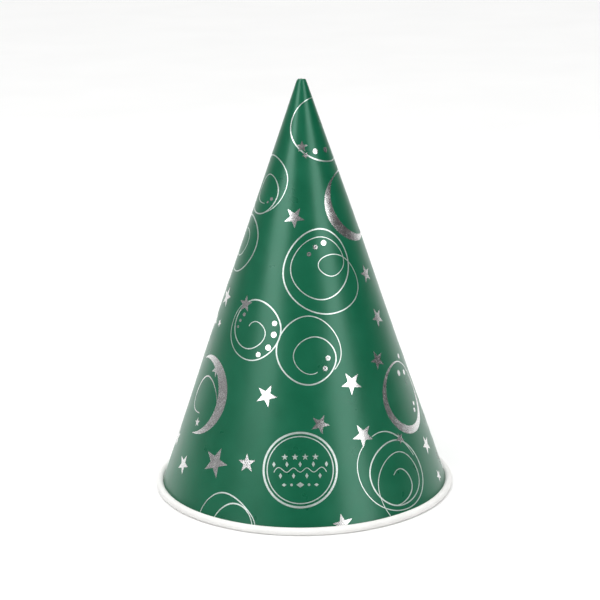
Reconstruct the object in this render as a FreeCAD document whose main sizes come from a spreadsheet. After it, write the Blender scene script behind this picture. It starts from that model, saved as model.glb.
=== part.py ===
import FreeCAD, Part
import math
import os

import Sketcher
from FreeCAD import Placement, Rotation, Vector

# A small party hat: one sector of card rolled into a cone, its mouth curled outwards, its two ends
# lapped and glued at the back.  A printed film covers the outside and foil is stamped on the film.
# The frame: origin on the floor under the tip, +Z up to the tip, the front of the hat faces -Y.
# "Turn" is the angle round the hat from the front, positive towards +X.

doc = FreeCAD.newDocument("party_hat")

# ---------------------------------------------------------------- driving dimensions (mm, degrees)
SIZES = {
    "rim_radius": 53.0,           # outside of the curled rim
    "curl_radius": 1.3,           # outside of the curl's cross-section
    "curl_flat": 0.05,            # how much the curl is pressed flat where it rests
    "curl_sweep": 317.0,          # how far the card curls round before it meets the wall
    "sheet_turn": 117.0,          # flat angle of the sector that makes one full round of the cone
    "lap_turn": 9.2,              # turn covered by the glued lap at the back
    "ramp_turn": 6.0,             # turn over which the outer end climbs onto the inner end
    "board_thick": 0.30,
    "film_thick": 0.05,
    "glue_thick": 0.05,
    "foil_thick": 0.06,
    "tip_radius": 1.35,           # outside radius where the tip is cut off
    "film_foot": 2.0,             # height where the film runs into the curl
    "lap_foot": 4.0,              # height where the doubled wall joins the curled rim
    "glue_margin": 3.0,           # the glue stops this far short of the lap's ends
}

sheet = doc.addObject("Spreadsheet::Sheet", "Sizes")
for row, (alias, number) in enumerate(SIZES.items(), start=1):
    sheet.set(f"A{row}", alias)
    sheet.set(f"B{row}", str(number))
    sheet.setAlias(f"B{row}", alias)
doc.recompute()

# ------------------------------------------------------------------------- expressions they share
HALF_ANGLE = "asin(Sizes.sheet_turn / 360)"
CURL_CENTRE = "(Sizes.rim_radius - Sizes.curl_radius)"
CURL_HEIGHT = "(Sizes.curl_radius - Sizes.curl_flat)"
SHEET_THICK = "(Sizes.board_thick + Sizes.film_thick)"
LAP_STEP = f"(({SHEET_THICK} + Sizes.glue_thick) / cos({HALF_ANGLE}))"


def wall_radius(height, depth="0"):
    """Radius of the wall at a height, at a depth of card outwards from its inner face."""
    at_curl = f"{CURL_CENTRE} + ({depth} - Sizes.curl_radius) / cos({HALF_ANGLE})"
    return f"({at_curl} - ({height} - {CURL_HEIGHT}) * tan({HALF_ANGLE}))"


APEX_HEIGHT = (f"({CURL_HEIGHT} + {CURL_CENTRE} / tan({HALF_ANGLE})"
               f" + ({SHEET_THICK} - Sizes.curl_radius) / sin({HALF_ANGLE}))")
TIP_HEIGHT = f"({APEX_HEIGHT} - Sizes.tip_radius / tan({HALF_ANGLE}))"


def value(expression):
    """The number an expression gives, in mm or degrees."""
    result = sheet.evalExpression(expression)
    return getattr(result, "Value", result)


def bind(sketch, constraint, name, expression):
    """Adds a constraint, names it and binds it to the sheet."""
    index = sketch.addConstraint(constraint)
    sketch.renameConstraint(index, name)
    sketch.setExpression(f"Constraints.{name}", expression)


def new_body(label):
    body = doc.addObject("PartDesign::Body", label)
    body.Label = label
    return body


def new_sketch(body, name, role):
    """A sketch on one of the body's own origin planes."""
    plane = [item for item in body.Origin.OriginFeatures if item.Role == role][0]
    sketch = body.newObject("Sketcher::SketchObject", name)
    sketch.AttachmentSupport = [(plane, "")]
    sketch.MapMode = "FlatFace"
    return sketch


def polar(radius, degrees):
    angle = math.radians(degrees)
    return Vector(radius * math.cos(angle), radius * math.sin(angle), 0)


# ---------------------------------------------------- the rolled sheet's section, seen from above
# Polar angles in these sketches: the back of the hat, and the middle of the lap, is at 90 degrees.
LAP_START = "(90 - Sizes.lap_turn / 2)"
LAP_END = "(90 + Sizes.lap_turn / 2)"
RAMP_START = f"({LAP_START} - Sizes.ramp_turn)"


def lap_section(body, name, height, inner_depth, outer_depth):
    """Once round from the lap's start, up the ramp and over the start: a spiral with a step."""
    sketch = new_sketch(body, name, "XY_Plane")
    sketch.setExpression("AttachmentOffset.Base.z", height)
    inner = wall_radius(height, inner_depth)
    outer = wall_radius(height, outer_depth)
    radii = {"inner_main": inner, "inner_lap": f"{inner} + {LAP_STEP}",
             "outer_lap": f"{outer} + {LAP_STEP}", "outer_main": outer}
    size = {key: value(text) for key, text in radii.items()}
    lap_start, lap_end, ramp_start = value(LAP_START), value(LAP_END), value(RAMP_START)

    def arc(key, start, end):
        circle = Part.Circle(Vector(0, 0, 0), Vector(0, 0, 1), size[key])
        return Part.ArcOfCircle(circle, math.radians(start), math.radians(end))

    def line(first, first_angle, second, second_angle):
        return Part.LineSegment(polar(size[first], first_angle), polar(size[second], second_angle))

    sketch.addGeometry([
        arc("inner_main", lap_start - 360, ramp_start),
        line("inner_main", ramp_start, "inner_lap", lap_start),
        arc("inner_lap", lap_start, lap_end),
        line("inner_lap", lap_end, "outer_lap", lap_end),
        arc("outer_lap", lap_start, lap_end),
        line("outer_lap", lap_start, "outer_main", ramp_start),
        arc("outer_main", lap_start - 360, ramp_start),
        line("outer_main", lap_start, "inner_main", lap_start)], False)
    start_ray, ramp_ray = sketch.addGeometry([
        Part.LineSegment(Vector(0, 0, 0), polar(size["outer_lap"], lap_start)),
        Part.LineSegment(Vector(0, 0, 0), polar(size["outer_main"], ramp_start))], True)

    for arc_index in (0, 2, 4, 6):
        sketch.addConstraint(Sketcher.Constraint("Coincident", arc_index, 3, -1, 1))
    joints = [(0, 2, 1, 1), (1, 2, 2, 1), (2, 2, 3, 1), (3, 2, 4, 2),
              (4, 1, 5, 1), (5, 2, 6, 2), (6, 1, 7, 1), (7, 2, 0, 1),
              (start_ray, 1, -1, 1), (start_ray, 2, 4, 1),
              (ramp_ray, 1, -1, 1), (ramp_ray, 2, 6, 2)]
    for joint in joints:
        sketch.addConstraint(Sketcher.Constraint("Coincident", *joint))
    for geometry, end, ray in ((2, 1, start_ray), (0, 1, start_ray), (6, 1, start_ray), (0, 2, ramp_ray)):
        sketch.addConstraint(Sketcher.Constraint("PointOnObject", geometry, end, ray))
    sketch.addConstraint(Sketcher.Constraint("PointOnObject", -1, 1, 3))
    for arc_index, key in ((0, "inner_main"), (2, "inner_lap"), (4, "outer_lap"), (6, "outer_main")):
        bind(sketch, Sketcher.Constraint("Radius", arc_index, size[key]), key, radii[key])
    for ray, name, angle in ((start_ray, "lap_start", LAP_START), (ramp_ray, "ramp_start", RAMP_START),
                             (3, "lap_end", LAP_END)):
        bind(sketch, Sketcher.Constraint("Angle", ray, math.radians(value(angle))), name, angle)
    return sketch


def rolled_wall(body, foot, inner_depth, outer_depth):
    """The doubled wall from a foot height to the tip, ruled between two sections."""
    low = lap_section(body, "FootSection", foot, inner_depth, outer_depth)
    high = lap_section(body, "TipSection", TIP_HEIGHT, inner_depth, outer_depth)
    wall = body.newObject("PartDesign::AdditiveLoft", "RolledWall")
    wall.Profile = low
    wall.Sections = [high]
    wall.Ruled = True
    low.Visibility = False
    high.Visibility = False
    body.Tip = wall


def curled_rim(body):
    """The foot of the wall and the outward curl, revolved once round."""
    sketch = new_sketch(body, "CurlProfile", "XZ_Plane")
    tilt = value(HALF_ANGLE)
    sweep = value("Sizes.curl_sweep")
    centre = Vector(value(CURL_CENTRE), value(CURL_HEIGHT), 0)
    outside = value("Sizes.curl_radius")
    inside = outside - value("Sizes.board_thick")
    start = 180 + tilt
    end = start + sweep
    foot = value("Sizes.lap_foot")
    top_inner = Vector(value(wall_radius("Sizes.lap_foot")), foot, 0)
    top_outer = Vector(value(wall_radius("Sizes.lap_foot", "Sizes.board_thick")), foot, 0)

    def curl_arc(radius):
        circle = Part.Circle(centre, Vector(0, 0, 1), radius)
        return Part.ArcOfCircle(circle, math.radians(start), math.radians(end))

    sketch.addGeometry([
        Part.LineSegment(top_inner, centre + polar(outside, start)),
        curl_arc(outside),
        Part.LineSegment(centre + polar(outside, end), centre + polar(inside, end)),
        curl_arc(inside),
        Part.LineSegment(centre + polar(inside, start), top_outer),
        Part.LineSegment(top_outer, top_inner)], False)
    spoke = sketch.addGeometry(Part.LineSegment(centre, centre + polar(inside, end)), True)
    for joint in ((1, 2, 2, 1), (2, 2, 3, 2), (4, 2, 5, 1), (5, 2, 0, 1),
                  (1, 3, 3, 3), (spoke, 1, 1, 3), (spoke, 2, 3, 2)):
        sketch.addConstraint(Sketcher.Constraint("Coincident", *joint))
    for joint in ((0, 2, 1, 1), (3, 1, 4, 1)):
        sketch.addConstraint(Sketcher.Constraint("Tangent", *joint))
    sketch.addConstraint(Sketcher.Constraint("Horizontal", 5))
    sketch.addConstraint(Sketcher.Constraint("Parallel", spoke, 2))
    sketch.addConstraint(Sketcher.Constraint("Parallel", 0, 4))
    bind(sketch, Sketcher.Constraint("DistanceX", -1, 1, 1, 3, centre.x), "centre_radius", CURL_CENTRE)
    bind(sketch, Sketcher.Constraint("DistanceY", -1, 1, 1, 3, centre.y), "centre_height", CURL_HEIGHT)
    bind(sketch, Sketcher.Constraint("Radius", 1, outside), "outside", "Sizes.curl_radius")
    bind(sketch, Sketcher.Constraint("Radius", 3, inside), "inside", "Sizes.curl_radius - Sizes.board_thick")
    bind(sketch, Sketcher.Constraint("DistanceY", -1, 1, 5, 1, foot), "foot", "Sizes.lap_foot")
    bind(sketch, Sketcher.Constraint("DistanceX", -1, 1, 0, 1, top_inner.x), "wall",
         wall_radius("Sizes.lap_foot"))
    bind(sketch, Sketcher.Constraint("Angle", spoke, math.radians(end - 360)), "curl_end",
         f"{HALF_ANGLE} + (Sizes.curl_sweep - 180) * 1deg")

    rim = body.newObject("PartDesign::Revolution", "CurledRim")
    rim.Profile = sketch
    rim.ReferenceAxis = (sketch, ["V_Axis"])
    rim.Angle = 360
    sketch.Visibility = False

    # the curl is pressed flat where the hat rests on it
    floor = new_sketch(body, "RestingFace", "XZ_Plane")
    corners = [Vector(centre.x - outside, -outside, 0), Vector(centre.x + outside, -outside, 0),
               Vector(centre.x + outside, 0, 0), Vector(centre.x - outside, 0, 0)]
    edges = [Part.LineSegment(corners[i], corners[(i + 1) % 4]) for i in range(4)]
    floor.addGeometry(edges, False)
    for i in range(4):
        floor.addConstraint(Sketcher.Constraint("Coincident", i, 2, (i + 1) % 4, 1))
    for i in (0, 2):
        floor.addConstraint(Sketcher.Constraint("Horizontal", i))
    for i in (1, 3):
        floor.addConstraint(Sketcher.Constraint("Vertical", i))
    floor.addConstraint(Sketcher.Constraint("PointOnObject", 2, 1, -1))
    bind(floor, Sketcher.Constraint("DistanceX", -1, 1, 3, 1, corners[3].x), "near",
         f"{CURL_CENTRE} - Sizes.curl_radius")
    bind(floor, Sketcher.Constraint("DistanceX", 2, 2, 2, 1, 2 * outside), "across", "2 * Sizes.curl_radius")
    bind(floor, Sketcher.Constraint("DistanceY", 1, 1, 1, 2, outside), "below", "Sizes.curl_radius")
    rest = body.newObject("PartDesign::Groove", "PressedFlat")
    rest.Profile = floor
    rest.ReferenceAxis = (floor, ["V_Axis"])
    rest.Angle = 360
    floor.Visibility = False


def glue_film(body):
    """Glue between the film of the inner end and the card of the outer end."""
    foot = "(Sizes.lap_foot + Sizes.glue_margin)"
    top = f"({TIP_HEIGHT} - Sizes.glue_margin)"
    near = SHEET_THICK
    far = f"({SHEET_THICK} + Sizes.glue_thick)"
    corners = [(wall_radius(foot, near), foot), (wall_radius(foot, far), foot),
               (wall_radius(top, far), top), (wall_radius(top, near), top)]
    sketch = new_sketch(body, "GlueProfile", "XZ_Plane")
    points = [Vector(value(x), value(y), 0) for x, y in corners]
    sketch.addGeometry([Part.LineSegment(points[i], points[(i + 1) % 4]) for i in range(4)], False)
    for i in range(4):
        sketch.addConstraint(Sketcher.Constraint("Coincident", i, 2, (i + 1) % 4, 1))
    for i, (x, y) in enumerate(corners):
        bind(sketch, Sketcher.Constraint("DistanceX", -1, 1, i, 1, points[i].x), f"radius_{i}", x)
        bind(sketch, Sketcher.Constraint("DistanceY", -1, 1, i, 1, points[i].y), f"height_{i}", y)
    strip = body.newObject("PartDesign::Revolution", "GlueStrip")
    strip.Profile = sketch
    strip.ReferenceAxis = (sketch, ["V_Axis"])
    strip.Midplane = True
    strip.setExpression("Angle", "Sizes.lap_turn")
    sketch.Visibility = False
    # the strip is centred on +X as it is revolved, and belongs at the back
    body.Placement = Placement(Vector(0, 0, 0), Rotation(Vector(0, 0, 1), 90))


board = new_body("hat_board")
curled_rim(board)
rolled_wall(board, "Sizes.lap_foot", "0", "Sizes.board_thick")

film = new_body("printed_film")
rolled_wall(film, "Sizes.film_foot", "Sizes.board_thick", SHEET_THICK)

glue = new_body("lap_glue")
glue_film(glue)
doc.recompute()

# --------------------------------------------------------------------------------- stamped foil
# The foil is drawn on the flat sheet and wrapped onto the film without stretching.  On the flat
# sheet the tip is at (0, 0), x runs to the right and y down the front of the hat, in mm.
TILT = math.radians(value(HALF_ANGLE))
APEX = value(APEX_HEIGHT)
FOIL = value("Sizes.foil_thick")
PRINT_TOP = value("Sizes.tip_radius") / math.sin(TILT)
PRINT_FOOT = (APEX - value("Sizes.film_foot")) / math.cos(TILT)
LINE = 0.26                     # width of a drawn line
SWELL = 0.24                    # how much a line swells in its middle
STAR_WAIST = 0.40               # inner radius of a star over its outer radius
SPAN_STEPS = 6                  # stations along each stretch of a drawn line
EDGE_POINTS = 12                # least points that carry an edge onto the cone
EDGE_SPACING = 2.0              # spacing of those points along a long edge
CRUMB_AREA = 0.15               # scraps of foil smaller than this don't hold, and are left out
REFERENCE_RADIUS = 10.0         # where the cone's own slant parameter starts
BACK_PANEL = 43.5               # flat angle from the front to the middle of each back panel

# each swirl is one or more strokes, and each stroke is a smooth line through its points
SWIRLS = {
    "tip": [[(8, 9.9), (-1.4, 14.4), (-4, 21.3), (-0.6, 28.6), (7, 32), (14.8, 29.7), (18.5, 21.5),
             (15, 14.5), (11.5, 18.5)]],
    "upper_left": [[(-14.8, 45.7), (-18.8, 40.5), (-13.6, 35.6), (-8.6, 41.3), (-15, 49),
                    (-25.4, 39), (-15.5, 28.4), (-5.1, 37.3), (-6.6, 43.6), (-10.2, 47.5),
                    (-13.5, 48.8)]],
    "left_edge": [[(-25, 52.5), (-22.2, 56.5), (-27.8, 61.8), (-33.5, 56), (-26.5, 47.6),
                   (-17, 56.5), (-27.5, 67.6), (-37.5, 58), (-35, 51)]],
    "centre": [[(14.8, 65.8), (13.2, 69.5), (9.4, 71.2), (5.2, 67.6), (10, 63.8), (20.8, 73.8), (8, 84),
                (-6.8, 70.3), (7, 55.3), (16.8, 66.8), (6.2, 79.2), (-4.2, 69.3), (6.6, 58),
                (12.4, 60.8), (14.8, 65.8)]],
    "middle_left": [[(-19.6, 87.5), (-16.8, 86.1), (-13.2, 90), (-19, 95.2), (-26.2, 88),
                     (-18.2, 78.7), (-7.6, 89), (-17.8, 99.2), (-27.9, 91.2), (-26.6, 83.7),
                     (-22.5, 79.8)]],
    "middle": [[(4.7, 103.5), (1.3, 104.1), (-3.4, 98.2), (4, 91.7), (11.1, 98), (2.5, 107.7),
                (-9.2, 96.2), (1.8, 84.7), (12.9, 95.5), (10.6, 102.6)]],
    "lower_right": [[(20.6, 128.5), (18.3, 136), (23.5, 146.2), (33.5, 150.1), (45.6, 145.2),
                     (48.3, 138.5), (35.5, 126.2), (23, 137.5), (33.5, 148.4), (45.9, 139),
                     (36.8, 130.2), (26.4, 139.5), (27.6, 147), (30.8, 151.8)],
                    [(33, 138.2), (36.6, 136), (41.6, 141), (37, 147.3), (32, 148.2)],
                    [(24.3, 125.2), (30.6, 123.4), (38, 126.1), (44, 131.2)]],
    "rim_left": [[(-39.2, 151), (-35.8, 146.2), (-29.3, 143.5), (-23.6, 145.6), (-19.6, 149.2),
                  (-17.4, 152.4), (-16.9, 156)],
                 [(-33.2, 153), (-29.8, 149), (-24.6, 147.1), (-21, 148.4), (-18.8, 151.2),
                  (-17.9, 154.4)]],
}
# each crescent is a circle (x, y, radius), the circle cut out of it, and a stroke inside it
CRESCENTS = {
    "upper_right": ((20, 46, 12.2), (22.3, 43.3, 12.1),
                    [(9.9, 41.6), (12.1, 37.1), (17, 33.7), (22, 33), (27, 35)]),
    "left": ((-42.3, 109.5, 13.9), (-46, 109.3, 13.2),
             [(-33.6, 114.8), (-33.9, 110), (-41.3, 103.2), (-49, 110.5), (-43.5, 116)]),
    "right": ((42.6, 111, 12.8), (42.9, 109.8, 11.2), []),
}
# dots that go with a swirl or crescent: (x, y, radius, radius of the hole)
DOTS = {
    "tip": [(4.7, 28.9, 0.95, 0), (9, 27.9, 0.95, 0)],
    "upper_left": [(-11.4, 44.6, 0.65, 0), (-13.1, 45.5, 0.45, 0)],
    "centre": [(7.2, 60, 0.95, 0), (4.3, 61.5, 0.8, 0), (2.1, 63.9, 0.75, 0.25)],
    "middle_left": [(-9.8, 87, 0.88, 0), (-10.1, 90.8, 1, 0), (-12.1, 95.1, 1, 0),
                    (-15.8, 97.3, 0.88, 0.2), (-21.9, 83.4, 0.65, 0), (-23.6, 85.3, 0.55, 0),
                    (-24.6, 87.4, 0.45, 0)],
    "middle": [(8.3, 98.8, 0.85, 0.25), (7.3, 102.3, 0.85, 0.25)],
    "right": [(43.5, 96.3, 0.9, 0), (40.9, 102.6, 1.05, 0), (46, 101.8, 0.95, 0), (49.8, 112.6, 0.8, 0),
              (49.4, 115, 0.8, 0)],
}
# stars: (x, y, radius, spin)
FRONT_STARS = [
    (-2.8, 51.4, 3.7, 2), (26, 69.2, 3.4, -11), (-34.3, 75.8, 3.8, 8), (-21.5, 79.8, 3.1, 24),
    (30.6, 84, 3.6, 1), (28.3, 99, 3.5, -4), (-35.1, 101.3, 2.9, -7), (16.8, 107.2, 4, -1),
    (-12.7, 111.2, 3.9, 9), (5.4, 120.9, 3.4, 12), (20.8, 124.7, 4.2, -1), (55, 127, 3.6, 0),
    (-32.7, 133.3, 5.4, 7), (-51, 133.5, 3.7, 0), (-19.8, 133.7, 3.3, 178), (12.9, 154.2, 3.7, 193)]
SMALL_STARS = [
    (0, 27.5, 2.1, 180), (1.2, 30.4, 1.3, 0), (-37.2, 84.9, 1.7, 0), (-44.2, 119.2, 1.7, 30),
    (37.2, 125.6, 2.2, 0), (62, 137.6, 2.4, 0)]

# The back carries the same kinds of motif, each in a panel's own x and y with a spin of its own.
BACK_MOTIFS = {
    "back_right": [("centre", -1.5, 75, 20), ("middle_left", 9.5, 99, 140), ("middle", -15, 101, -60),
                   ("left", 11, 125.5, 75), ("lower_right", -21, 134, 200), ("rim_left", 3, 151, 0)],
    "back_left": [("upper_left", -2, 57, 160), ("upper_right", 3, 85, -100), ("centre", -9, 113.5, 120),
                  ("middle", 17.5, 110.5, 90), ("right", 8.5, 137, 60), ("middle_left", -17, 138.5, 30),
                  ("rim_left", 33, 149, 0)],
}
BACK_STARS = {
    "back_right": [
        (2.5, 52, 3.5, 15), (-1.5, 38, 2.6, -8), (4.5, 31, 2.4, 30), (9.5, 62, 2.6, 180),
        (-5, 115.5, 3.8, 5), (-17.5, 80, 2.6, -15), (-3, 140, 4, 10), (22, 143, 3.3, 175),
        (-16, 117, 2.6, 0), (-33, 149, 3.4, -6)],
    "back_left": [
        (-12, 73, 2.8, 10), (18, 78, 3.4, -5), (0, 39, 2.8, 180), (-3, 29, 2.2, 0), (1.5, 20, 1.8, 20),
        (-10, 96, 3.2, 4), (-5, 129.5, 2.4, 0), (-2.5, 150.5, 3.6, 12), (25, 129.5, 3.4, -10),
        (38, 133, 3.8, 0), (25, 90, 3.2, 170)],
}
# the badge: two rings, four stars, a vine with leaves and a row of lozenges
BADGE_X, BADGE_Y = -1.4, 136.0
BADGE_RINGS = {"outer": (12.7, 0.7), "inner": (11.3, 0.35)}     # radius and width of line
BADGE_STAR_RISE, BADGE_STAR_RADIUS = 4.3, 1.15
BADGE_STAR_OFFSETS = (-5.1, -1.7, 1.7, 5.1)
VINE_STEPS = range(-4, 5)
VINE_PITCH, VINE_WAVE = 2.2, 0.7
LEAF_REACH, LEAF_HALF_WIDTH, LEAF_HALF_HEIGHT = 1.9, 0.55, 0.95
ROW_DROP = 4.9                                                      # from the vine to the row under it
LOZENGES = [(-5.4, 0.8, 0.55), (0, 1.3, 0.9), (5.4, 0.8, 0.55)]     # offset, half width, half height
ROW_DOTS, ROW_DOT_RADIUS = (-2.9, 2.9), 0.45


def circle_face(x, y, radius):
    """A disc bounded by two half circles, so that each edge wraps with its own ends."""
    circle = Part.Circle(Vector(x, y, 0), Vector(0, 0, 1), radius)
    halves = [Part.ArcOfCircle(circle, 0, math.pi).toShape(),
              Part.ArcOfCircle(circle, math.pi, 2 * math.pi).toShape()]
    return Part.Face(Part.Wire(halves))


def ring_face(x, y, radius, hole):
    return circle_face(x, y, radius).cut(circle_face(x, y, hole)) if hole else circle_face(x, y, radius)


def star_face(x, y, radius, spin):
    """A five-pointed star; at spin 0 one point looks down the hat."""
    corners = []
    for k in range(10):
        reach = radius if k % 2 == 0 else radius * STAR_WAIST
        angle = math.radians(36 * k + spin)
        corners.append(Vector(x + reach * math.sin(angle), y + reach * math.cos(angle), 0))
    return Part.Face(Part.makePolygon(corners + corners[:1]))


def lozenge_face(x, y, half_width, half_height):
    corners = [Vector(x - half_width, y, 0), Vector(x, y - half_height, 0),
               Vector(x + half_width, y, 0), Vector(x, y + half_height, 0)]
    return Part.Face(Part.makePolygon(corners + corners[:1]))


def ribbon(stations, widths):
    """The strip between two smooth sides, either side of the stations' line."""
    left, right = [], []
    for (point, tangent), width in zip(stations, widths):
        side = Vector(-tangent.y, tangent.x, 0).normalize() * (width / 2)
        left.append(point + side)
        right.append(point - side)
    sides = []
    for points in (left, right[::-1]):
        curve = Part.BSplineCurve()
        curve.interpolate(points)
        sides.append(curve.toShape())
    return Part.Face(Part.Wire([sides[0], Part.makeLine(left[-1], right[-1]),
                                sides[1], Part.makeLine(right[0], left[0])]))


def stroke_faces(points, swell=SWELL):
    """A drawn line as ribbons of two stretches each, swelling towards the middle of the stroke."""
    closed = points[0] == points[-1]
    knots = [Vector(x, y, 0) for x, y in points]
    curve = Part.BSplineCurve()
    curve.interpolate(Points=knots[:-1] if closed else knots, PeriodicFlag=closed)
    first, last = curve.FirstParameter, curve.LastParameter
    spans = max(1, (len(points) - 1) // 2)
    faces = []
    for span in range(spans):
        stations, widths = [], []
        for step in range(2 * SPAN_STEPS + 1):
            share = (span + step / (2 * SPAN_STEPS)) / spans
            parameter = first + (last - first) * share
            stations.append((curve.value(parameter), Vector(*curve.tangent(parameter)[0])))
            widths.append(LINE + swell * math.sin(math.pi * share) ** 2)
        faces.append(ribbon(stations, widths))
    return faces


def joined(faces):
    """One flat outline from overlapping ones."""
    if len(faces) == 1:
        return faces[0]
    return faces[0].multiFuse(faces[1:]).removeSplitter()


def motif_face(name):
    """A swirl or a crescent, as drawn on the front of the sheet."""
    if name in SWIRLS:
        return joined([face for stroke in SWIRLS[name] for face in stroke_faces(stroke)])
    disc, cut, stroke = CRESCENTS[name]
    crescent = circle_face(*disc).cut(circle_face(*cut))
    return joined([crescent] + stroke_faces(stroke)) if stroke else crescent


def panel_place(centre, x, y, spin, panel):
    """Takes a motif from its centre on the front to its place in a back panel."""
    turn = BACK_PANEL if panel == "back_right" else -BACK_PANEL
    about_z = Vector(0, 0, 1)
    return (Placement(Vector(0, 0, 0), Rotation(about_z, -turn))
            * Placement(Vector(x, y, 0), Rotation(about_z, spin))
            * Placement(-centre, Rotation()))


def placed(shape, placement):
    """A copy of a flat shape at another place on the sheet."""
    copy = shape.copy()
    copy.Placement = placement
    return copy


def badge_vine():
    """A wavy vine with a leaf at each crest, over a row of lozenges and dots."""
    crests = [(BADGE_X + VINE_PITCH * k, BADGE_Y + VINE_WAVE * (-1) ** k) for k in VINE_STEPS]
    vine = stroke_faces(crests, swell=0)
    leaves = [lozenge_face(BADGE_X + VINE_PITCH * k, BADGE_Y - LEAF_REACH * (-1) ** k,
                           LEAF_HALF_WIDTH, LEAF_HALF_HEIGHT)
              for k in VINE_STEPS]
    row = [lozenge_face(BADGE_X + offset, BADGE_Y + ROW_DROP, *half) for offset, *half in LOZENGES]
    dots = [circle_face(BADGE_X + offset, BADGE_Y + ROW_DROP, ROW_DOT_RADIUS) for offset in ROW_DOTS]
    return joined(vine + leaves + row + dots)


def cone_place(point, start):
    """A flat point as the cone's own angle and slant."""
    turn = math.atan2(point.x, point.y) / math.sin(TILT)
    return FreeCAD.Base.Vector2d(math.pi / 2 - turn, math.hypot(point.x, point.y) - start)


def wrapped_skin(loops, lift):
    """The flat loops as a face on the film's cone, lifted off it, with the edges in order."""
    surface = Part.Cone()
    surface.Axis = Vector(0, 0, -1)
    surface.SemiAngle = TILT
    surface.Radius = REFERENCE_RADIUS
    surface.Center = Vector(0, 0, APEX + lift / math.sin(TILT) - REFERENCE_RADIUS / math.tan(TILT))
    start = REFERENCE_RADIUS / math.sin(TILT) - lift / math.tan(TILT)
    wires, edges = [], []
    for loop in loops:
        wrapped = []
        for edge in loop.OrderedEdges:
            points = edge.discretize(max(EDGE_POINTS, int(edge.Length / EDGE_SPACING) + 2))
            curve = Part.Geom2d.BSplineCurve2d()
            curve.interpolate(Points=[cone_place(point, start) for point in points],
                              Parameters=[float(index) for index in range(len(points))])
            wrapped.append(curve.toShape(surface))
        wires.append(Part.Wire(wrapped))
        edges += wrapped
    skin = Part.Face(surface, wires[0])
    for wire in wires[1:]:
        skin = skin.cut(Part.Face(surface, wire)).Faces[0]
    return skin, edges


def wrapped_solid(face):
    """A flat face wrapped onto the film and given the foil's thickness."""
    loops = [face.OuterWire] + [wire for wire in face.Wires if not wire.isSame(face.OuterWire)]
    inside, low_edges = wrapped_skin(loops, 0)
    outside, high_edges = wrapped_skin(loops, FOIL)
    strips = [Part.makeRuledSurface(low, high, 1) for low, high in zip(low_edges, high_edges)]
    shell = Part.Shell([inside, outside] + [face for strip in strips for face in strip.Faces])
    shell.sewShape()
    return Part.Solid(shell)


def overlaps(first, second):
    return first.BoundBox.intersect(second.BoundBox)


print_area = circle_face(0, 0, PRINT_FOOT).cut(circle_face(0, 0, PRINT_TOP))
stamped_faces = []
foil_parts = []


def stamp(name, shapes):
    """One foil node.  Foil is a single layer, so what is already stamped is left out of it."""
    shape = Part.makeCompound(shapes).common(print_area)
    for other in stamped_faces:
        if overlaps(shape, other):
            shape = shape.cut(other)
    faces = [face for face in shape.removeSplitter().Faces if face.Area > CRUMB_AREA]
    stamped_faces.extend(faces)
    part = doc.addObject("Part::Feature", f"foil_{name}")
    part.Label = f"foil_{name}"
    part.Shape = Part.makeCompound([wrapped_solid(face) for face in faces])
    part.Placement = Placement()
    foil_parts.append(part)


for number, star in enumerate(FRONT_STARS, start=1):
    stamp(f"star_{number:02d}", [star_face(*star)])
stamp("small_stars", [star_face(*star) for star in SMALL_STARS])
for name, (radius, line) in BADGE_RINGS.items():
    stamp(f"badge_{name}_ring", [ring_face(BADGE_X, BADGE_Y, radius, radius - line)])
stamp("badge_stars", [star_face(BADGE_X + offset, BADGE_Y - BADGE_STAR_RISE, BADGE_STAR_RADIUS, 180)
                      for offset in BADGE_STAR_OFFSETS])
stamp("badge_vine", [badge_vine()])
motifs = {name: motif_face(name) for name in [*CRESCENTS, *SWIRLS]}
for name, dots in DOTS.items():
    stamp(f"dots_{name}", [ring_face(*dot) for dot in dots])
for name, face in motifs.items():
    stamp(f"{'crescent' if name in CRESCENTS else 'swirl'}_{name}", [face])

for panel, rows in BACK_MOTIFS.items():
    dots = []
    for name, x, y, spin in rows:
        placement = panel_place(motifs[name].BoundBox.Center, x, y, spin, panel)
        kind = "crescent" if name in CRESCENTS else "swirl"
        dots += [placed(ring_face(*dot), placement) for dot in DOTS.get(name, [])]
        stamp(f"{kind}_{panel}_{name}", [placed(motifs[name], placement)])
    stamp(f"dots_{panel}", dots)
    stamp(f"stars_{panel}", [placed(star_face(0, 0, radius, spin), panel_place(Vector(), x, y, 0, panel))
                             for x, y, radius, spin in BACK_STARS[panel]])
doc.recompute()

# ------------------------------------------------------------------------------ check and write
for item in doc.Objects:
    if "Invalid" in item.State or "Error" in item.State:
        raise RuntimeError(f"{item.Label} is {item.State}")
os.makedirs("parts", exist_ok=True)
for part in [board, film, glue] + foil_parts:
    shape = part.Shape
    if shape.isNull() or not shape.isValid() or not shape.Solids:
        raise RuntimeError(f"{part.Label} has no valid solid")
    shape.exportStep(f"parts/{part.Label}.step")
    print(part.Label, len(shape.Solids), round(shape.Volume, 3))
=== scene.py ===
import math

import bmesh
import bpy
import numpy as np
from mathutils import Matrix, Vector


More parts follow.
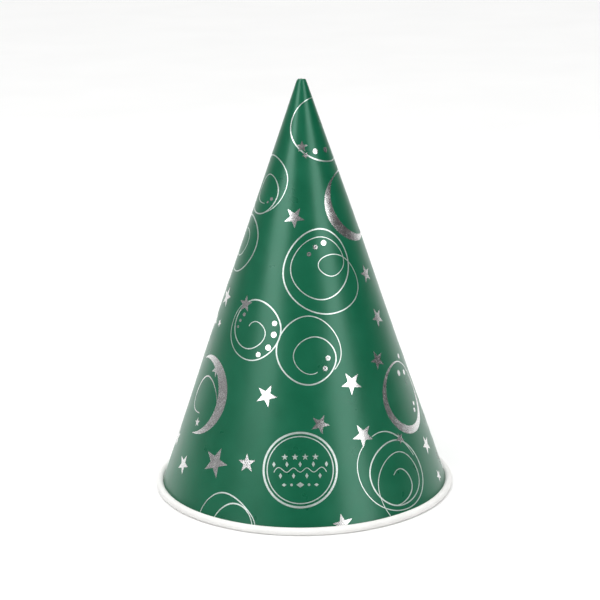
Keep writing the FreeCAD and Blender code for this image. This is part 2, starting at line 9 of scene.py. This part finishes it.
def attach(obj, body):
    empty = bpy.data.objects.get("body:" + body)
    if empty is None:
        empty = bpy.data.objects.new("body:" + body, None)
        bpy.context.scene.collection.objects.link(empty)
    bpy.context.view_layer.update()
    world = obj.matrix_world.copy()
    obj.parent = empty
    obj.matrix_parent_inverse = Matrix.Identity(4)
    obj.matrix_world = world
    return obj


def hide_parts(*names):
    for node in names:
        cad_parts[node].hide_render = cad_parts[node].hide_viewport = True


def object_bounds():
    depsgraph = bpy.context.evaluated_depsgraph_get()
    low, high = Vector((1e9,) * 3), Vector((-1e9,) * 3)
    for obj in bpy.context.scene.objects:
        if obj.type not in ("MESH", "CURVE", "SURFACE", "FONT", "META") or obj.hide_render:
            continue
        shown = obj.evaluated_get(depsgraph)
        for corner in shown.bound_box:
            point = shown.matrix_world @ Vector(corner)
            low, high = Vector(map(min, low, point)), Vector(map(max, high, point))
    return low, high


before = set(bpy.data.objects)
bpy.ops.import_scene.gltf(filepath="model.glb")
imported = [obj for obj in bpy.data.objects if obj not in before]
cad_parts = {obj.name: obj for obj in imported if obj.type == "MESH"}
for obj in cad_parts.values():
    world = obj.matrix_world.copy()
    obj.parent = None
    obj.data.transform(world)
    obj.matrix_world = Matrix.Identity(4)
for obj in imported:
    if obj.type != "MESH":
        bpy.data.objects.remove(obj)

# A small party hat, standing on its curled rim: card rolled into a cone, a printed film over it and
# foil stamped on the film.  "Turn" is the angle round the hat from its front (-Y) towards +X.
# "Along" is the distance up the sheet from the end of the curl, and "depth" is the distance through
# the sheet from its white side to its printed side.

MM = 0.001
WELD = 0.001 * MM                 # points closer than this are one point

# ------------------------------------------------------------------------- the sheet and its roll
BOARD = 0.30 * MM
FILM = 0.05 * MM
GLUE = 0.05 * MM
FOIL = 0.06 * MM
CURL_RADIUS = 1.3 * MM
CURL_FLAT = 0.05 * MM
CURL_SWEEP = math.radians(317)
LAP_TURN = math.radians(9.2)
RAMP_TURN = math.radians(6.0)

# ---------------------------------------------------------------------------- measured on the frame
cad_low, cad_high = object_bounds()
film_verts = np.array([v.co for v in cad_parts["printed_film"].data.vertices])
film_front = film_verts[film_verts[:, 1] < 0]
film_radius = np.hypot(film_front[:, 0], film_front[:, 1])
TIP = cad_high.z
FILM_FOOT = film_verts[:, 2].min()
TIP_RADIUS = film_radius[film_front[:, 2] > TIP - WELD].max()
TILT = math.atan2(film_radius.max() - TIP_RADIUS, TIP - FILM_FOOT)
CURL_CENTRE = cad_high.x - CURL_RADIUS
CURL_HEIGHT = CURL_RADIUS - CURL_FLAT

CURL_LENGTH = CURL_RADIUS * CURL_SWEEP
WALL_FOOT = CURL_HEIGHT - CURL_RADIUS * math.sin(TILT)
SHEET_LENGTH = CURL_LENGTH + (TIP - WALL_FOOT - BOARD * math.sin(TILT)) / math.cos(TILT)
SHEET_END = math.pi + LAP_TURN / 2
RAMP_START = math.pi - LAP_TURN / 2 - RAMP_TURN

# ------------------------------------------------------------ how the real sheet leaves a true cone
# shallow waves in the card: how many round the hat, how many up it, their height and phase
RIPPLES = [(2, 0.7, 0.16 * MM, 0.5), (3, -1.3, 0.09 * MM, 2.1), (5, 1.8, 0.05 * MM, 4.0),
           (8, 2.6, 0.022 * MM, 1.2), (13, -3.4, 0.010 * MM, 5.1)]
RIPPLE_FADE = 0.7                # how quickly they die out towards the rim and the tip
# how far the rim is out of round: how many waves round it, their height and phase
RIM_WAVES = [(2, 0.22 * MM, 1.9), (5, 0.05 * MM, 0.3), (11, 0.02 * MM, 2.6)]
CRUSH_HEIGHT = 1.3 * MM          # how far down the tip is crushed
CRUSH_DEPTH = 0.55 * MM
CRUSH_TURN = math.radians(-80)
CUT_SLOPE = (0.10, 0.11)         # fall of the cut tip towards +X and towards the back
NOTCH_TURN = math.radians(-55)   # a small dent in the lip of the tip
NOTCH_WIDTH = math.radians(20)
NOTCH_DEPTH = 0.22 * MM


def smooth(share):
    """Eases from 0 to 1 as the share goes from 0 to 1."""
    share = np.clip(share, 0, 1)
    return share * share * (3 - 2 * share)


def sheet_points(turn, along, depth):
    """Points of the rolled sheet, from arrays of turn, distance along it and depth through it."""
    turn, along, depth = np.broadcast_arrays(turn, along, depth)
    depth = depth + (BOARD + FILM + GLUE) * smooth((turn - RAMP_START) / RAMP_TURN)
    rise = np.clip((along - CURL_LENGTH) / (SHEET_LENGTH - CURL_LENGTH), 0, 1)
    wave = sum(size * np.cos(count * turn + 2 * math.pi * length * rise + phase)
               for count, length, size, phase in RIPPLES)
    depth = depth + wave * np.sin(math.pi * rise) ** RIPPLE_FADE

    # the curl turns outwards and up again; the wall leaves it as a tangent
    angle = math.pi + TILT + CURL_SWEEP * (1 - np.clip(along / CURL_LENGTH, 0, 1))
    curl_r, curl_z = np.cos(angle), np.sin(angle)
    wall = np.maximum(along - CURL_LENGTH, 0)
    radius = CURL_CENTRE + (CURL_RADIUS - depth) * curl_r - wall * math.sin(TILT)
    height = CURL_HEIGHT + (CURL_RADIUS - depth) * curl_z + wall * math.cos(TILT)
    height = np.maximum(height, 0)

    # the rim isn't quite round, and the tip is cut a little askew and crushed on one side
    oval = sum(size * np.cos(count * turn + phase) for count, size, phase in RIM_WAVES)
    radius = radius + oval * (1 - rise) ** 2
    crush = np.clip((height - TIP + CRUSH_HEIGHT) / CRUSH_HEIGHT, 0, 1) ** 2
    toward = np.maximum(np.cos(turn - CRUSH_TURN), 0)
    x = radius * np.sin(turn) - CRUSH_DEPTH * crush * toward * math.sin(CRUSH_TURN)
    y = -radius * np.cos(turn) + CRUSH_DEPTH * crush * toward * math.cos(CRUSH_TURN)
    fall = CUT_SLOPE[0] * (x + TIP_RADIUS) + CUT_SLOPE[1] * (y + TIP_RADIUS)
    apart = np.angle(np.exp(1j * (turn - NOTCH_TURN))) / NOTCH_WIDTH
    notch = NOTCH_DEPTH * np.exp(-apart ** 2)
    z = height - crush * (fall + notch)
    return np.stack([x, y, z], axis=-1)


def sheet_normals(turn, along, depth):
    """Unit normals of the sheet at those points, on its printed side."""
    step_turn, step_along = math.radians(0.2), 0.1 * MM
    across = sheet_points(turn + step_turn, along, depth) - sheet_points(turn - step_turn, along, depth)
    up = sheet_points(turn, along + step_along, depth) - sheet_points(turn, along - step_along, depth)
    normal = np.cross(across, up)
    return normal / np.linalg.norm(normal, axis=-1, keepdims=True)


def sheet_position(points):
    """Turn, distance along the sheet and depth of points on the true cone of the frame."""
    radius, height = np.hypot(points[:, 0], points[:, 1]), points[:, 2]
    turn = np.arctan2(points[:, 0], -points[:, 1])
    out, up = radius - CURL_CENTRE, height - CURL_HEIGHT
    depth = CURL_RADIUS + out * math.cos(TILT) + up * math.sin(TILT)
    along = CURL_LENGTH + up * math.cos(TILT) - out * math.sin(TILT)
    return turn, along, depth


# ------------------------------------------------------------------------------------- mesh making
SHARP = math.radians(38)


def new_piece(name, mesh, slot, *nodes):
    """Adds a finished mesh to the scene in place of the nodes it stands for."""
    piece = bpy.data.objects.new(name, mesh)
    bpy.context.scene.collection.objects.link(piece)
    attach(piece, "root")
    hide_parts(*nodes)
    return piece


def layer_mesh(name, turns, stations, inner, outer):
    """One layer of the sheet as a closed mesh: two faces and the four cut edges between them."""
    rows, columns = len(stations), len(turns)
    faces_at = [sheet_points(turns[None, :], stations[:, None], depth) for depth in (inner, outer)]
    points = np.concatenate([face.reshape(-1, 3) for face in faces_at])
    index = np.arange(2 * rows * columns).reshape(2, rows, columns)

    def strip(low, high):
        return np.stack([low[:-1], low[1:], high[1:], high[:-1]], axis=-1).reshape(-1, 4)

    def patch(grid):
        return np.stack([grid[:-1, :-1], grid[:-1, 1:], grid[1:, 1:], grid[1:, :-1]], axis=-1).reshape(-1, 4)

    white, printed = index
    quads = np.concatenate([
        patch(printed), patch(white)[:, ::-1],
        strip(white[0], printed[0]), strip(printed[-1], white[-1]),
        strip(printed[:, 0], white[:, 0]), strip(white[:, -1], printed[:, -1])])
    mesh = bpy.data.meshes.new(name)
    mesh.from_pydata(points.tolist(), [], quads.tolist())
    mesh.shade_smooth()
    mesh.set_sharp_from_angle(angle=SHARP)
    return mesh


def add_wear(mesh, wear):
    """Stores how worn each point of a mesh is, from 0 to 1."""
    attribute = mesh.attributes.new("wear", "FLOAT", "POINT")
    attribute.data.foreach_set("value", np.asarray(wear, np.float32).ravel())


# how finely the sheet is divided: round the hat, along the curl, up the wall and at the tip
TURN_COUNT, CURL_COUNT, WALL_COUNT, TIP_COUNT = 493, 41, 37, 9
TURNS = np.linspace(-SHEET_END, SHEET_END, TURN_COUNT)
CURL_ROWS = np.linspace(0, CURL_LENGTH, CURL_COUNT)[:-1]
WALL_ROWS = np.linspace(CURL_LENGTH, SHEET_LENGTH - CRUSH_HEIGHT, WALL_COUNT)[:-1]
TIP_ROWS = np.linspace(SHEET_LENGTH - CRUSH_HEIGHT, SHEET_LENGTH, TIP_COUNT)


def make_board():
    """The white card: the wall, the curl at its foot and the lapped ends."""
    stations = np.concatenate([CURL_ROWS, WALL_ROWS, TIP_ROWS])
    mesh = layer_mesh("card_cone", TURNS, stations, 0, BOARD)
    return new_piece("card_cone", mesh, "card", "hat_board")


FILM_TUCK = 1.6 * MM             # how far the film follows the card into the curl
TIP_WEAR, LAP_WEAR = 0.15 * MM, 0.32 * MM     # width of the worn line along the cut edges


def make_film():
    """The printed film, which follows the card into the curl and ends at the cut edges."""
    tuck = CURL_ROWS[CURL_ROWS > CURL_LENGTH - FILM_TUCK]
    stations = np.concatenate([tuck, WALL_ROWS, TIP_ROWS])
    mesh = layer_mesh("printed_cover", TURNS, stations, BOARD, BOARD + FILM)
    from_tip = (SHEET_LENGTH - stations)[:, None] / TIP_WEAR
    from_lap = (SHEET_END - TURNS)[None, :] * stations.max() * math.sin(TILT) / LAP_WEAR
    wear = np.exp(-np.minimum(from_tip, from_lap) ** 2)
    add_wear(mesh, np.stack([wear, wear]))
    return new_piece("printed_cover", mesh, "print", "printed_film")


GLUE_ROWS, GLUE_COLUMNS = 60, 7
GLUE_MARGIN = 3.0 * MM           # the glue stops this far short of the lap's ends
GLUE_INSET = 0.35 * MM           # and this far inside its sides, at least
GLUE_WANDER = 0.22 * MM
GLUE_WAVES = (4.1 * MM, 1.7 * MM)


def make_glue():
    """The glue line: a thin strip between the two ends of the sheet, with a wandering edge."""
    foot, top = CURL_LENGTH + GLUE_MARGIN, SHEET_LENGTH - GLUE_MARGIN
    stations = np.linspace(foot, top, GLUE_ROWS)[:, None]
    share = np.linspace(0, 1, GLUE_COLUMNS)[None, :]
    radius = CURL_CENTRE - (stations - CURL_LENGTH) * math.sin(TILT)
    long_wave, short_wave = (stations / length for length in GLUE_WAVES)
    wander = GLUE_INSET + GLUE_WANDER * (1 + np.sin(long_wave) * np.cos(short_wave))
    start = -SHEET_END + wander / radius
    end = -SHEET_END + LAP_TURN - wander / radius
    turns = start + (end - start) * share
    inner = sheet_points(turns, stations, BOARD + FILM).reshape(-1, 3)
    outer = sheet_points(turns, stations, BOARD + FILM + GLUE).reshape(-1, 3)
    rows, columns = turns.shape
    work = bmesh.new()
    grids = [np.array([work.verts.new(p) for p in face], dtype=object).reshape(rows, columns)
             for face in (inner, outer)]
    for side, grid in enumerate(grids):
        for row in range(rows - 1):
            for column in range(columns - 1):
                corners = [grid[row, column], grid[row, column + 1],
                           grid[row + 1, column + 1], grid[row + 1, column]]
                work.faces.new(corners if side else corners[::-1])
    low, high = grids
    rings = [[*grid[0], *grid[1:, -1], *grid[-1, -2::-1], *grid[-2:0:-1, 0]] for grid in (low, high)]
    for k in range(len(rings[0])):
        after = (k + 1) % len(rings[0])
        work.faces.new([rings[0][k], rings[0][after], rings[1][after], rings[1][k]])
    mesh = bpy.data.meshes.new("glue_line")
    work.to_mesh(mesh)
    work.free()
    mesh.shade_smooth()
    mesh.set_sharp_from_angle(angle=SHARP)
    return new_piece("glue_line", mesh, "glue", "lap_glue")


FOIL_TURN_STEP = math.radians(2.0)
FOIL_RISE_STEP = 4.0 * MM
UNDERSIDE, FACE = 0.01, 0.99     # lift below and above which a point is on the patch's underside or face


def make_foil(node):
    """One stamped foil patch: the node's outline, cut fine enough to lie on the curved film."""
    work = bmesh.new()
    work.from_mesh(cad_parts[node].data)
    bmesh.ops.remove_doubles(work, verts=work.verts, dist=WELD)

    def slice_by(point, normal):
        bmesh.ops.bisect_plane(work, geom=work.verts[:] + work.edges[:] + work.faces[:],
                               dist=WELD, plane_co=point, plane_no=normal)

    points = np.array([v.co for v in work.verts])
    turn, _, depth = sheet_position(points)
    lift = work.verts.layers.float.new("lift")
    for vert, deep in zip(work.verts, depth):
        vert[lift] = float(deep > BOARD + FILM + FOIL / 2)
    for k in range(math.ceil(turn.min() / FOIL_TURN_STEP), math.ceil(turn.max() / FOIL_TURN_STEP)):
        slice_by((0, 0, 0), (math.cos(k * FOIL_TURN_STEP), math.sin(k * FOIL_TURN_STEP), 0))
    height = points[:, 2]
    for k in range(math.ceil(height.min() / FOIL_RISE_STEP), math.ceil(height.max() / FOIL_RISE_STEP)):
        slice_by((0, 0, k * FOIL_RISE_STEP), (0, 0, 1))

    turn, along, _ = sheet_position(np.array([v.co for v in work.verts]))
    raised = np.array([vert[lift] for vert in work.verts])
    depth = BOARD + FILM + FOIL * raised
    placed = sheet_points(turn, along, depth)
    normals = sheet_normals(turn, along, depth)
    for vert, place in zip(work.verts, placed):
        vert.co = place
    work.verts.index_update()
    work.normal_update()
    loops = []
    for face in work.faces:
        level = [raised[vert.index] for vert in face.verts]
        for vert in face.verts:
            if min(level) > FACE:
                loops.append(tuple(normals[vert.index]))
            elif max(level) < UNDERSIDE:
                loops.append(tuple(-normals[vert.index]))
            else:
                loops.append(tuple(face.normal))
    name = node.replace("foil", "silver")
    mesh = bpy.data.meshes.new(name)
    work.to_mesh(mesh)
    work.free()
    mesh.shade_smooth()
    mesh.normals_split_custom_set(loops)
    return new_piece(name, mesh, "foil", node)


# --------------------------------------------------------------------------------------- materials
# colours, each pair from its darker to its lighter patches
INK = ((0.0002, 0.082, 0.036), (0.0006, 0.098, 0.045))
INK_SPECK = (0.003, 0.110, 0.055)
WORN_EDGE = (0.72, 0.74, 0.70)
PAPER = ((0.76, 0.752, 0.735), (0.81, 0.805, 0.79))
PAPER_FIBRE = (0.66, 0.64, 0.60)
DRIED_GLUE = ((0.80, 0.72, 0.50), (0.90, 0.86, 0.70))
FLOOR = ((0.88, 0.88, 0.875), (0.90, 0.90, 0.895))
BACKDROP = ((0.93, 0.93, 0.93), (0.95, 0.95, 0.95))
# the foil's dull and bright colour, and its roughness from its smooth to its rough patches.  A narrow
# line is pressed in with round shoulders: it scatters more light than a flat patch, and a little of
# the green print shows at its edges.
FLAT_FOIL = ((0.70, 0.695, 0.69), (0.93, 0.93, 0.93), 0.21, 0.29)
LINE_FOIL = ((0.60, 0.69, 0.65), (0.84, 0.90, 0.87), 0.36, 0.44)


def new_material(name):
    """A material, its nodes and links, its shader, and the place on the object as a texture input."""
    material = bpy.data.materials.new(name)
    material.use_nodes = True
    nodes, links = material.node_tree.nodes, material.node_tree.links
    shader = nodes.get("Principled BSDF") or nodes.new("ShaderNodeBsdfPrincipled")
    place = nodes.new("ShaderNodeTexCoord")
    return material, nodes, links, shader, place.outputs["Object"]


def add_noise(nodes, links, place, size, detail=3, rough=0.55):
    """Noise whose features are about that size, in metres."""
    noise = nodes.new("ShaderNodeTexNoise")
    noise.inputs["Scale"].default_value = 1 / size
    noise.inputs["Detail"].default_value = detail
    noise.inputs["Roughness"].default_value = rough
    links.new(place, noise.inputs["Vector"])
    return noise.outputs["Fac"]


def add_range(nodes, links, source, low, high, start=0.3, end=0.7):
    """Maps a noise from start..end to low..high."""
    ranged = nodes.new("ShaderNodeMapRange")
    ranged.inputs["From Min"].default_value = start
    ranged.inputs["From Max"].default_value = end
    ranged.inputs["To Min"].default_value = low
    ranged.inputs["To Max"].default_value = high
    links.new(source, ranged.inputs["Value"])
    return ranged.outputs["Result"]


def add_mix(nodes, links, share, first, second):
    """A colour between two, each a colour or another node's output."""
    mix = nodes.new("ShaderNodeMix")
    mix.data_type = "RGBA"
    links.new(share, mix.inputs["Factor"])
    for socket, colour in ((mix.inputs[6], first), (mix.inputs[7], second)):
        if isinstance(colour, bpy.types.NodeSocket):
            links.new(colour, socket)
        else:
            socket.default_value = (*colour, 1)
    return mix.outputs[2]


def add_bump(nodes, links, shader, source, height, previous=None):
    """Raises the surface by up to that height, over an earlier bump if there is one."""
    bump = nodes.new("ShaderNodeBump")
    bump.inputs["Strength"].default_value = 1.0
    bump.inputs["Distance"].default_value = height
    links.new(source, bump.inputs["Height"])
    if previous is not None:
        links.new(previous, bump.inputs["Normal"])
    links.new(bump.outputs["Normal"], shader.inputs["Normal"])
    return bump.outputs["Normal"]


def print_material():
    """Deep green ink under a satin film: cloudy ink, a fine tooth, and white card at worn edges."""
    material, nodes, links, shader, place = new_material("green_print")
    cloud = add_noise(nodes, links, place, 9 * MM)
    grain = add_noise(nodes, links, place, 0.5 * MM, detail=4)
    ink = add_mix(nodes, links, add_range(nodes, links, cloud, 0, 1), *INK)
    speck = add_mix(nodes, links, add_range(nodes, links, grain, 0, 0.35), ink, INK_SPECK)
    wear = nodes.new("ShaderNodeAttribute")
    wear.attribute_name = "wear"
    ragged = nodes.new("ShaderNodeMath")
    ragged.operation = "MULTIPLY"
    links.new(wear.outputs["Fac"], ragged.inputs[0])
    links.new(add_range(nodes, links, grain, 0.1, 0.8, 0.40, 0.66), ragged.inputs[1])
    colour = add_mix(nodes, links, ragged.outputs[0], speck, WORN_EDGE)
    links.new(colour, shader.inputs["Base Color"])
    links.new(add_range(nodes, links, cloud, 0.27, 0.33), shader.inputs["Roughness"])
    shader.inputs["Specular IOR Level"].default_value = 0.75
    shader.inputs["Specular Tint"].default_value = (0.62, 1.0, 0.86, 1)
    tooth = add_bump(nodes, links, shader, grain, 0.004 * MM)
    add_bump(nodes, links, shader, add_noise(nodes, links, place, 2.6 * MM), 0.010 * MM, tooth)
    return material


def foil_material(name, dull, bright, smooth_side, rough_side):
    """Stamped silver foil: it takes the tooth of the card, so its mirror is broken into fine specks."""
    material, nodes, links, shader, place = new_material(name)
    speck = add_noise(nodes, links, place, 0.35 * MM, detail=3, rough=0.7)
    patch = add_noise(nodes, links, place, 1.6 * MM)
    metal = add_mix(nodes, links, add_range(nodes, links, speck, 0, 1, 0.35, 0.65), dull, bright)
    links.new(metal, shader.inputs["Base Color"])
    shader.inputs["Metallic"].default_value = 1.0
    links.new(add_range(nodes, links, patch, smooth_side, rough_side), shader.inputs["Roughness"])
    add_bump(nodes, links, shader, speck, 0.018 * MM)
    return material


def card_material():
    """Uncoated white card: matt, faintly clouded, with short fibres in its surface."""
    material, nodes, links, shader, place = new_material("white_card")
    cloud = add_noise(nodes, links, place, 6 * MM)
    fibre = add_noise(nodes, links, place, 0.30 * MM, detail=5, rough=0.65)
    paper = add_mix(nodes, links, add_range(nodes, links, cloud, 0, 1), *PAPER)
    flecks = add_range(nodes, links, fibre, 0, 0.25, 0.5, 0.75)
    flecked = add_mix(nodes, links, flecks, paper, PAPER_FIBRE)
    links.new(flecked, shader.inputs["Base Color"])
    links.new(add_range(nodes, links, cloud, 0.62, 0.74), shader.inputs["Roughness"])
    shader.inputs["Specular IOR Level"].default_value = 0.35
    add_bump(nodes, links, shader, fibre, 0.012 * MM)
    return material


def glue_material():
    """Dried paper glue: pale amber, slightly glossy and uneven."""
    material, nodes, links, shader, place = new_material("dried_glue")
    cloud = add_noise(nodes, links, place, 1.2 * MM)
    colour = add_mix(nodes, links, add_range(nodes, links, cloud, 0, 1), *DRIED_GLUE)
    links.new(colour, shader.inputs["Base Color"])
    links.new(add_range(nodes, links, cloud, 0.25, 0.45), shader.inputs["Roughness"])
    add_bump(nodes, links, shader, cloud, 0.02 * MM)
    return material


def floor_material():
    """A pale matt studio table."""
    material, nodes, links, shader, place = new_material("pale_floor")
    cloud = add_noise(nodes, links, place, 120 * MM)
    colour = add_mix(nodes, links, add_range(nodes, links, cloud, 0, 1), *FLOOR)
    links.new(colour, shader.inputs["Base Color"])
    shader.inputs["Roughness"].default_value = 0.8
    shader.inputs["Specular IOR Level"].default_value = 0.2
    return material


def backdrop_material():
    """A faintly clouded pale wall, evenly lit."""
    material, nodes, links, shader, place = new_material("pale_backdrop")
    cloud = add_noise(nodes, links, place, 900 * MM)
    colour = add_mix(nodes, links, add_range(nodes, links, cloud, 0, 1), *BACKDROP)
    links.new(colour, shader.inputs["Emission Color"])
    shader.inputs["Emission Strength"].default_value = 1.0
    shader.inputs["Base Color"].default_value = (0, 0, 0, 1)
    shader.inputs["Specular IOR Level"].default_value = 0
    return material


# ------------------------------------------------------------------------------------- the studio
AIM = Vector((0, 0, 71.25 * MM))
CAMERA_DISTANCE = 600 * MM
CAMERA_RISE = math.radians(14.603)
CAMERA_ROLL = math.radians(-0.437)
CAMERA_PAN = math.radians(-0.101)
CAMERA_TILT = math.radians(-0.405)
CAMERA_LENS, CAMERA_SENSOR = 102.9, 36      # mm
CLIP_START, CLIP_END = 0.01, 50
FLOOR_RADIUS, WALL_HEIGHT, STAGE_SIDES = 9.0, 7.0, 96
# soft boxes: turn and rise in degrees, distance, width and height in metres, power in watts
SOFTBOXES = {
    "box_left": (-48, 34, 1.1, 0.60, 0.75, 4.8),
    "box_right": (45.5, 22, 1.1, 0.50, 0.9, 4.2),
}
# the room's brightness: along an axis, from where to where, from how bright to how bright
WORLD_RAMPS = [("X", -0.95, 0.8, 0.20, 0.05), ("Y", 0.25, 0.95, 0, 0.60), ("Z", 0.62, 0.92, 0, 2.1)]


def add_camera():
    """The camera in front of the hat and a little above it."""
    towards = Vector((0, math.cos(CAMERA_RISE), -math.sin(CAMERA_RISE)))
    right = Vector((1, 0, 0))
    up = right.cross(towards)
    right, up = (math.cos(CAMERA_ROLL) * right + math.sin(CAMERA_ROLL) * up,
                 math.cos(CAMERA_ROLL) * up - math.sin(CAMERA_ROLL) * right)
    panned = towards * math.cos(CAMERA_PAN) + right * math.sin(CAMERA_PAN)
    right = right * math.cos(CAMERA_PAN) - towards * math.sin(CAMERA_PAN)
    ahead = panned * math.cos(CAMERA_TILT) + up * math.sin(CAMERA_TILT)
    up = up * math.cos(CAMERA_TILT) - panned * math.sin(CAMERA_TILT)
    camera = bpy.data.objects.new("camera", bpy.data.cameras.new("camera"))
    camera.data.lens = CAMERA_LENS
    camera.data.sensor_width = CAMERA_SENSOR
    camera.data.clip_start = CLIP_START
    camera.data.clip_end = CLIP_END
    frame_of = Matrix((right, up, -ahead)).transposed().to_4x4()
    camera.matrix_world = Matrix.Translation(AIM - towards * CAMERA_DISTANCE) @ frame_of
    bpy.context.scene.collection.objects.link(camera)
    bpy.context.scene.camera = camera


def add_softbox(name, turn, rise, distance, width, height, power):
    """A rectangular soft box aimed at the hat, at a turn and rise in degrees."""
    turn, rise = math.radians(turn), math.radians(rise)
    away = Vector((math.sin(turn) * math.cos(rise), -math.cos(turn) * math.cos(rise), math.sin(rise)))
    light = bpy.data.lights.new(name, "AREA")
    light.shape = "RECTANGLE"
    light.size, light.size_y = width, height
    light.energy = power
    box = bpy.data.objects.new(name, light)
    box.location = AIM + away * distance
    box.rotation_euler = (-away).to_track_quat("-Z", "Y").to_euler()
    box.visible_camera = False
    bpy.context.scene.collection.objects.link(box)


def add_world():
    """The room: brightest overhead, bright behind the hat, and dim elsewhere, dimmest at the right."""
    world = bpy.data.worlds.new("studio")
    world.use_nodes = True
    nodes, links = world.node_tree.nodes, world.node_tree.links
    place = nodes.new("ShaderNodeTexCoord")
    split = nodes.new("ShaderNodeSeparateXYZ")
    links.new(place.outputs["Generated"], split.inputs[0])
    total = None
    for axis, start, end, low, high in WORLD_RAMPS:
        ranged = nodes.new("ShaderNodeMapRange")
        ranged.interpolation_type = "SMOOTHSTEP"
        for socket, number in (("From Min", start), ("From Max", end), ("To Min", low), ("To Max", high)):
            ranged.inputs[socket].default_value = number
        links.new(split.outputs[axis], ranged.inputs["Value"])
        if total is None:
            total = ranged.outputs["Result"]
        else:
            add = nodes.new("ShaderNodeMath")
            links.new(total, add.inputs[0])
            links.new(ranged.outputs["Result"], add.inputs[1])
            total = add.outputs[0]
    background = nodes.get("Background") or nodes.new("ShaderNodeBackground")
    links.new(total, background.inputs["Color"])
    bpy.context.scene.world = world


def add_stage():
    """A pale round floor, and a pale wall round it that is seen but throws no light or reflection."""
    for name, material in (("floor", floor_material()), ("backdrop", backdrop_material())):
        work = bmesh.new()
        bmesh.ops.create_circle(work, cap_ends=name == "floor", radius=FLOOR_RADIUS,
                                segments=STAGE_SIDES)
        if name == "backdrop":
            raised = bmesh.ops.extrude_edge_only(work, edges=work.edges[:])["geom"]
            corners = [item for item in raised if isinstance(item, bmesh.types.BMVert)]
            bmesh.ops.translate(work, verts=corners, vec=(0, 0, WALL_HEIGHT))
        mesh = bpy.data.meshes.new(name)
        work.to_mesh(mesh)
        work.free()
        mesh.materials.append(material)
        stage = bpy.data.objects.new(name, mesh)
        bpy.context.scene.collection.objects.link(stage)
        if name == "backdrop":
            stage.visible_diffuse = stage.visible_glossy = stage.visible_shadow = False


# ---------------------------------------------------------------------------------- the hat itself
make_board().data.materials.append(card_material())
make_film().data.materials.append(print_material())
make_glue().data.materials.append(glue_material())
flat_foil = foil_material("silver_foil", *FLAT_FOIL)
line_foil = foil_material("silver_line", *LINE_FOIL)
for node in sorted(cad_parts):
    if node.startswith("foil"):
        line = node.startswith(("foil_swirl", "foil_badge"))
        make_foil(node).data.materials.append(line_foil if line else flat_foil)

add_stage()
add_world()
for name, setting in SOFTBOXES.items():
    add_softbox(name, *setting)
add_camera()
bpy.context.scene.view_settings.view_transform = "Standard"
